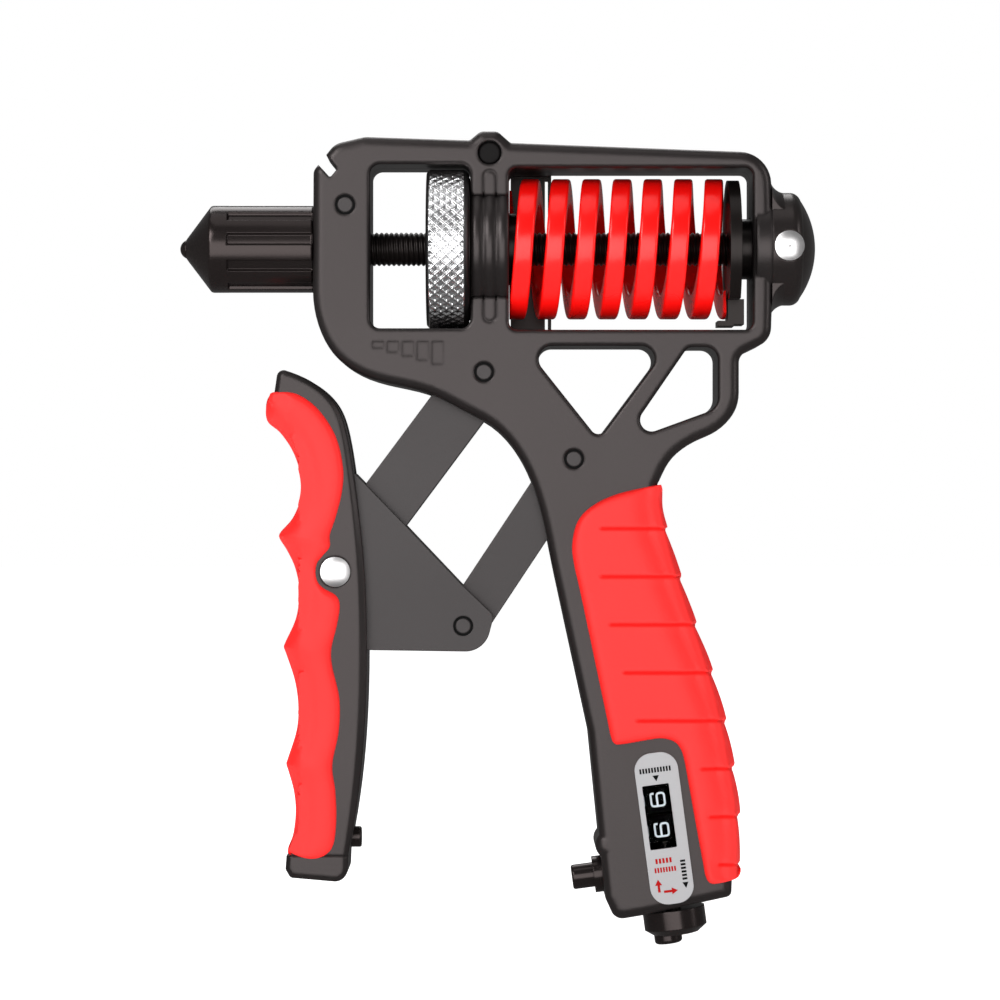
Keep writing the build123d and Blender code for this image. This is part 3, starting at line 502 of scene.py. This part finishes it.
def rubber_grip(name, outline, height, core, body, replaces, extra=None):
    # a closed skin round a hard core, with its outline in the XZ plane and its faces height(points) from the
    # middle plane; its points are the rim, rings just inside it, a staggered grid, and any extra ones
    rim = resample(outline, RIM_STEP)
    low, high = rim.min(0), rim.max(0)
    gx, gz = np.meshgrid(np.arange(low[0], high[0], CELL), np.arange(low[1], high[1], CELL))
    gx = gx + (np.arange(gx.shape[0]) % 2)[:, None] * CELL / 2
    grid = np.stack([gx.ravel(), gz.ravel()], 1)
    grid = grid[inside(grid, rim)]
    grid = grid[away(grid, rim, True) > GRID_OFF]
    pool = [grid]
    n = len(rim)
    tangent = np.roll(rim, -1, axis=0) - np.roll(rim, 1, axis=0)
    tangent /= np.linalg.norm(tangent, axis=1)[:, None]
    area = 0.5 * np.sum(rim[:, 0] * np.roll(rim[:, 1], -1) - np.roll(rim[:, 0], -1) * rim[:, 1])
    normal = np.stack([-tangent[:, 1], tangent[:, 0]], 1) * (1 if area > 0 else -1)
    for d in RIM_RINGS:
        line = rim + normal * d
        line = line[inside(line, rim)]
        pool.append(line[away(line, rim, True) > d * 0.93])
    if extra is not None:
        e = extra[inside(extra, rim)]
        pool.append(e[away(e, rim, True) > 0.3])
    flat = [Vector(p) for p in np.vstack([rim] + pool)]
    edges = [(i, (i + 1) % n) for i in range(n)]
    verts, _, tris, _, _, _ = delaunay_2d_cdt(flat, edges, [], 1, 1e-5)
    v = np.array([(p.x, p.y) for p in verts])
    h = height(v)
    # the skin's inner face is just inside the core's own, so nothing shows between them
    inner = np.clip(core_depth(v, core) - 0.05, 0.0, h - 0.1)
    count = len(v)
    layers = [np.stack([v[:, 0], y, v[:, 1]], 1) for y in (-h, -inner, inner, h)]
    faces = []
    for t in tris:
        faces += [tuple(t), tuple(3 * count + i for i in reversed(t))]
        if max(inner[i] for i in t) > 0:
            faces += [tuple(count + i for i in reversed(t)), tuple(2 * count + i for i in t)]
    # walls round the rim, on the edges that only one triangle uses, from each face in to the core's
    uses = {}
    for t in tris:
        for i in range(len(t)):
            e = (t[i], t[(i + 1) % len(t)])
            uses[frozenset(e)] = None if frozenset(e) in uses else e
    for e in uses.values():
        if e is not None:
            a, b = e
            faces.append((b, a, count + a, count + b))
            faces.append((2 * count + b, 2 * count + a, 3 * count + a, 3 * count + b))
    return piece(name, np.vstack(layers), faces, body, GRIP_RED, replaces, angle=60)


FINGER_LEFT = [(-45.9, 28.7), (-46.6, 26.2), (-46.2, 23.5), (-43.6, 21.2), (-41.0, 17.2), (-39.5, 12.2),
               (-39.6, 8.2), (-41.2, 4.2), (-43.6, 1.4), (-43.9, 0.2), (-42.3, -2.4), (-40.7, -5.9),
               (-39.9, -10.4), (-40.5, -15.8), (-42.7, -20.8), (-43.0, -21.8), (-42.5, -23.2), (-40.8, -28.4),
               (-40.1, -33.4), (-40.4, -38.4), (-42.2, -44.2), (-42.5, -45.3), (-42.1, -46.6), (-41.0, -50.6),
               (-40.6, -54.8), (-41.1, -59.4), (-42.1, -62.6)]
FINGER_RIGHT = [(-40.0, -63.6), (-37.2, -64.2), (-34.4, -63.4), (-32.7, -61.2), (-32.1, -56.2), (-32.3, -50.4),
                (-32.9, -45.2), (-31.6, -38.4), (-31.5, -31.8), (-32.9, -25.6), (-33.1, -22.0), (-32.0, -17.4),
                (-31.4, -13.4), (-32.2, -11.2), (-34.9, -9.6), (-36.1, -7.9), (-36.1, -5.2), (-34.9, -3.5),
                (-33.4, -1.6), (-33.4, 0.8), (-32.2, 4.4), (-30.9, 9.8), (-30.8, 14.8), (-32.4, 21.0),
                (-36.0, 26.3), (-40.2, 29.2), (-44.2, 29.5)]
RIDGES = (0.6, -21.8, -45.3)
FINGER_TOP = 10.3
finger_loop = curve(FINGER_LEFT + FINGER_RIGHT, 6)
left_line = curve(FINGER_LEFT, 6, False)
right_line = curve([FINGER_LEFT[-1]] + FINGER_RIGHT + [FINGER_LEFT[0]], 6, False)


def finger_height(v):
    # well rounded on the fingers' side, less on the other, with a low ridge between each two fingers
    outer = rounded(away(v, left_line, False), 6.0, 5.6, FINGER_TOP)
    outer = np.maximum(outer, core_depth(v, "handle_front", 1.0) + 0.65)
    inner = rounded(away(v, right_line, False), 1.8, 8.6, FINGER_TOP)
    h = np.minimum(outer, inner)
    for z in RIDGES:
        tip = np.exp(-np.abs(v[:, 1] - z + 0.6 - 0.06 * (v[:, 0] + 38)) / 1.8)
        h = h + 0.30 * tip * smooth(away(v, left_line, False) / 1.5) * smooth(away(v, right_line, False) / 3.0)
    return h - 0.3


rubber_grip("finger_grip_soft", finger_loop, finger_height, "handle_front", "finger_handle", ["finger_grip"])

# palm grip: a smooth left edge, and a right edge of overlapping scales; each scale's groove starts at an x
SCALE = 9.6
GROOVES = [2.1 - SCALE * i for i in range(8)]
STARTS = (20.3, 20.3, 22.1, 24.9, 27.5, 40.3, 41.9, 43.6)
PALM_RIGHT = [(33.2, 9.4), (33.3, 6.0), (34.4, 1.8), (37.1, -7.4), (40.1, -16.7), (43.4, -26.3), (46.1, -36.2),
              (47.8, -45.4), (48.9, -55.0), (48.8, -65.6)]
PALM_LEFT = [(48.6, -67.0), (47.4, -68.1), (43.6, -69.0), (42.2, -68.6), (41.5, -67.2), (41.1, -65.0),
             (39.7, -57.4), (38.1, -48.4), (37.4, -44.6), (36.6, -42.0), (35.2, -40.5), (32.8, -39.9),
             (30.2, -40.2), (24.8, -41.1), (23.3, -40.9), (22.6, -39.4), (22.1, -37.0), (20.3, -28.5),
             (18.2, -18.5), (16.3, -9.6), (15.3, -5.2), (14.9, -1.0), (16.1, 3.7), (19.3, 6.9), (24.5, 9.2),
             (32.0, 10.8), (32.9, 10.5)]
PALM_TOP = 11.2
SCALE_STEP, SCALE_LIP = 0.75, 0.35


def scale_step(z):
    # how far the edge is cut back at height z: most just under a groove, and nothing at the next
    for g in GROOVES:
        below = g - z
        if 0 <= below < SCALE_LIP:
            return 0.1 + 0.9 * (below / SCALE_LIP)
        if 0 <= below < SCALE:
            return SCALE_STEP * (1 - below / SCALE) ** 2
    return 0.0


scaled = np.array([(x - scale_step(z), z) for x, z in curve(PALM_RIGHT, 12, False)])
palm_left_line = curve([PALM_RIGHT[-1]] + PALM_LEFT + [PALM_RIGHT[0]], 8, False)
palm_loop = np.vstack([scaled, palm_left_line[1:-1]])


def palm_height(v):
    # well rounded on the scaled side, less on the other, with a groove over each scale's edge
    outer = rounded(away(v, scaled, False), 7.5, 5.0, PALM_TOP)
    inner = rounded(away(v, palm_left_line, False), 1.5, 9.2, PALM_TOP)
    core = core_depth(v, "frame_front", 1.0)
    h = np.minimum(np.maximum(outer, core + 0.75), inner)
    floor = np.minimum(core + 0.12, h)
    for g, start in zip(GROOVES, STARTS):
        cut = np.exp(-((v[:, 1] - g) / 0.26) ** 2) * smooth((v[:, 0] - start) / 0.7)
        h = h - 0.55 * cut
    return np.maximum(h, floor)


# closer points along the grooves
lines = [(x, g + dz) for g, start in zip(GROOVES, STARTS)
         for dz in (-0.8, -0.5, -0.3, -0.15, 0.0, 0.15, 0.3, 0.5, 0.8)
         for x in np.arange(start - 0.8, 50.0, 0.35)]
rubber_grip("palm_grip_soft", palm_loop, palm_height, "frame_front", "frame", ["palm_grip"],
            extra=np.array(lines))


# ---------------------------------------------------------------- counter digits and printed marks

# the counter's window leans with the handle
TILT = math.radians(7.6)
CENTRE = np.array([33.3, -57.8])
RIGHT = np.array([math.cos(TILT), math.sin(TILT)])
UP = np.array([-math.sin(TILT), math.cos(TILT)])
DRUM_Y, DRUM_R = -1.6, 6.8
INK = 0.03  # how far the digits stand off the drum


def on_handle(u, v, y):
    # u across the window and v up it, from its centre
    p = CENTRE + RIGHT * u + UP * v
    return (p[0], y, p[1])


# each digit's strokes in a unit square
STROKES = {
    0: [[(0.5, 0), (1, 0), (1, 1), (0, 1), (0, 0), (0.5, 0)]],
    1: [[(0.35, 0.8), (0.6, 1), (0.6, 0)]],
    2: [[(0, 0.8), (0, 1), (1, 1), (1, 0.5), (0, 0.5), (0, 0), (1, 0)]],
    3: [[(0, 1), (1, 1), (1, 0), (0, 0)], [(0.2, 0.5), (1, 0.5)]],
    4: [[(0, 1), (0, 0.4), (1, 0.4)], [(0.8, 1), (0.8, 0)]],
    5: [[(1, 1), (0, 1), (0, 0.52), (1, 0.52), (1, 0), (0, 0), (0, 0.2)]],
    6: [[(1, 0.75), (1, 1), (0, 1), (0, 0), (1, 0), (1, 0.55), (0, 0.55)]],
    7: [[(0, 1), (1, 1), (1, 0)]],
    8: [[(0.5, 0), (1, 0), (1, 1), (0, 1), (0, 0), (0.5, 0)], [(0, 0.5), (1, 0.5)]],
    9: [[(0, 0.25), (0, 0), (1, 0), (1, 1), (0, 1), (0, 0.45), (1, 0.45)]],
}
DIGIT_WIDE, DIGIT_TALL, STROKE = 2.55, 2.7, 0.4


def softened(path, r=0.62):
    # the path in millimetres with its corners rounded, in short steps
    p = [np.array([(x - 0.5) * DIGIT_WIDE, (y - 0.5) * DIGIT_TALL]) for x, y in path]
    line = [p[0]]
    for before, at, after in zip(p, p[1:], p[2:]):
        one, two = before - at, after - at
        k = min(r, np.linalg.norm(one) / 2, np.linalg.norm(two) / 2)
        a, b = at + one / np.linalg.norm(one) * k, at + two / np.linalg.norm(two) * k
        line += [(1 - t) ** 2 * a + 2 * t * (1 - t) * at + t * t * b for t in np.linspace(0, 1, 7)]
    line.append(p[-1])
    steps = []
    for a, b in zip(line, line[1:]):
        n = max(1, int(np.linalg.norm(b - a) / 0.2))
        steps += [a + (b - a) * i / n for i in range(n)]
    return np.array(steps + [line[-1]])


for drum, body, mid_v, shown in (("units_drum", "units", -0.4, 9), ("tens_drum", "tens", 5.7, 9)):
    points, faces = [], []
    for digit, paths in STROKES.items():
        # the digit lies on its side: its height runs round the drum
        turn = math.radians(36.0 * (digit - shown) + 1.2) + math.asin(-0.6 / DRUM_R)
        for path in paths:
            line = softened(path)
            along = np.gradient(line, axis=0)
            along /= np.linalg.norm(along, axis=1)[:, None]
            across = np.stack([-along[:, 1], along[:, 0]], 1) * STROKE / 2
            base = len(points)
            for a, b in zip(line - across, line + across):
                for gx, gy in (a, b):
                    angle = turn + gy / DRUM_R
                    points.append(on_handle(math.sin(angle) * (DRUM_R + INK), mid_v - gx,
                                            DRUM_Y - math.cos(angle) * (DRUM_R + INK)))
            faces += [(base + 2 * i, base + 2 * i + 1, base + 2 * i + 3, base + 2 * i + 2)
                      for i in range(len(line) - 1)]
    piece(drum + "_digits", points, faces, body, DIGIT_PALE)

MARK_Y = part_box("counter_label")[0].y / MM - 0.02


def mark(name, shapes, m):
    # flat ink on the label: each shape is a polygon in handle coordinates
    points, faces = [], []
    for shape in shapes:
        base = len(points)
        points += [on_handle(u, v, MARK_Y) for u, v in shape]
        faces.append(tuple(base + i for i in range(len(shape))))
    piece(name, points, faces, "frame", m)


def arrow(u, v, du, dv, length):
    # a thin arrow from (u, v) along (du, dv)
    d = np.array([du, dv], float)
    s = np.array([-dv, du], float)
    tail, neck, tip = np.array([u, v]), np.array([u, v]) + d * (length - 1.2), np.array([u, v]) + d * length
    return [tuple(q) for q in (tail - s * 0.25, neck - s * 0.25, neck - s * 0.7, tip, neck + s * 0.7,
                               neck + s * 0.25, tail + s * 0.25)]


def box(u, v, wide, tall):
    return [(u, v), (u + wide, v), (u + wide, v + tall), (u, v + tall)]


def dashes(u_from, u_to, v, tall, count):
    # a row of short strokes, where the real label has words
    step = (u_to - u_from) / count
    return [box(u_from + i * step, v, step * 0.62, tall) for i in range(count)]


def dashes_down(u, v_from, v_to, wide, count):
    # the same in a column
    step = (v_to - v_from) / count
    return [box(u, v_from + i * step, wide, step * 0.6) for i in range(count)]


mark("label_marks_black", [[(-0.95, 10.7), (0.35, 10.7), (-0.3, 9.5)], [(2.2, -11.2), (3.4, -11.2), (2.8, -12.4)]]
     + dashes(-3.4, 3.1, 11.3, 1.0, 11) + dashes_down(2.3, -10.7, -6.4, 1.0, 6), INK_AND_SHADE_BLACK)
mark("label_marks_red", [arrow(-2.6, -12.6, 0, 1, 2.6), arrow(-1.7, -12.6, 1, 0, 2.8)]
     + dashes(-2.6, 0.9, -6.9, 1.0, 5) + dashes(-3.0, 1.5, -8.7, 1.0, 8), MARK_RED)


# ---------------------------------------------------------------- stage

floor_z = CAD_LOW.z - 0.001
FLOOR_HALF = 4
mesh = bpy.data.meshes.new("floor")
mesh.from_pydata([(x * FLOOR_HALF, y * FLOOR_HALF, floor_z) for x, y in ((-1, -1), (1, -1), (1, 1), (-1, 1))], [],
                 [(0, 1, 2, 3)])
floor_material = bpy.data.materials.new("floor")
floor_material.use_nodes = True
shade = floor_material.node_tree.nodes["Principled BSDF"]
shade.inputs["Base Color"].default_value = (0.9, 0.9, 0.9, 1)
shade.inputs["Roughness"].default_value = 0.9
shade.inputs["Emission Color"].default_value = (1, 1, 1, 1)
shade.inputs["Emission Strength"].default_value = 0.9
mesh.materials.append(floor_material)
floor = bpy.data.objects.new("floor", mesh)
bpy.context.scene.collection.objects.link(floor)
floor.visible_glossy = False

# the surroundings are dim, and white only where the camera looks past everything
world = bpy.data.worlds.new("world")
bpy.context.scene.world = world
world.use_nodes = True
nodes, links = world.node_tree.nodes, world.node_tree.links
dim = nodes["Background"]
dim.inputs["Color"].default_value = (1, 1, 1, 1)
dim.inputs["Strength"].default_value = 0.14
white = nodes.new("ShaderNodeBackground")
white.inputs["Color"].default_value = (1, 1, 1, 1)
path = nodes.new("ShaderNodeLightPath")
mix = nodes.new("ShaderNodeMixShader")
links.new(path.outputs["Is Camera Ray"], mix.inputs[0])
links.new(dim.outputs[0], mix.inputs[1])
links.new(white.outputs[0], mix.inputs[2])
links.new(mix.outputs[0], nodes["World Output"].inputs["Surface"])


def lamp(name, place, wide, tall, power):
    # a soft rectangle of light that faces the object's middle
    data = bpy.data.lights.new(name, "AREA")
    data.energy = power
    data.shape = "RECTANGLE"
    data.size = wide
    data.size_y = tall
    o = bpy.data.objects.new(name, data)
    o.location = place
    o.rotation_euler = (-Vector(place)).to_track_quat("-Z", "Y").to_euler()
    bpy.context.scene.collection.objects.link(o)


lamp("front", (-0.16, -1.0, 0.02), 1.2, 0.7, 7.0)
lamp("key", (-0.50, -0.65, 0.50), 0.4, 0.4, 3.5)
lamp("side", (0.90, -0.30, 0.30), 0.2, 0.7, 1.5)
lamp("top", (-0.1, -0.1, 0.9), 0.8, 0.5, 1.0)
lamp("back", (-0.15, 0.75, 0.85), 0.8, 0.5, 3.5)
bpy.context.scene.view_settings.view_transform = "Standard"

camera = bpy.data.cameras.new("camera")
camera.lens = 126.0
camera.sensor_width = 36.0
camera_object = bpy.data.objects.new("camera", camera)
camera_object.location = (0.0005, -0.7095, 0.0078)  # straight on, as in the photograph
camera_object.rotation_euler = (math.radians(90), 0, 0)
bpy.context.scene.collection.objects.link(camera_object)
bpy.context.scene.camera = camera_object
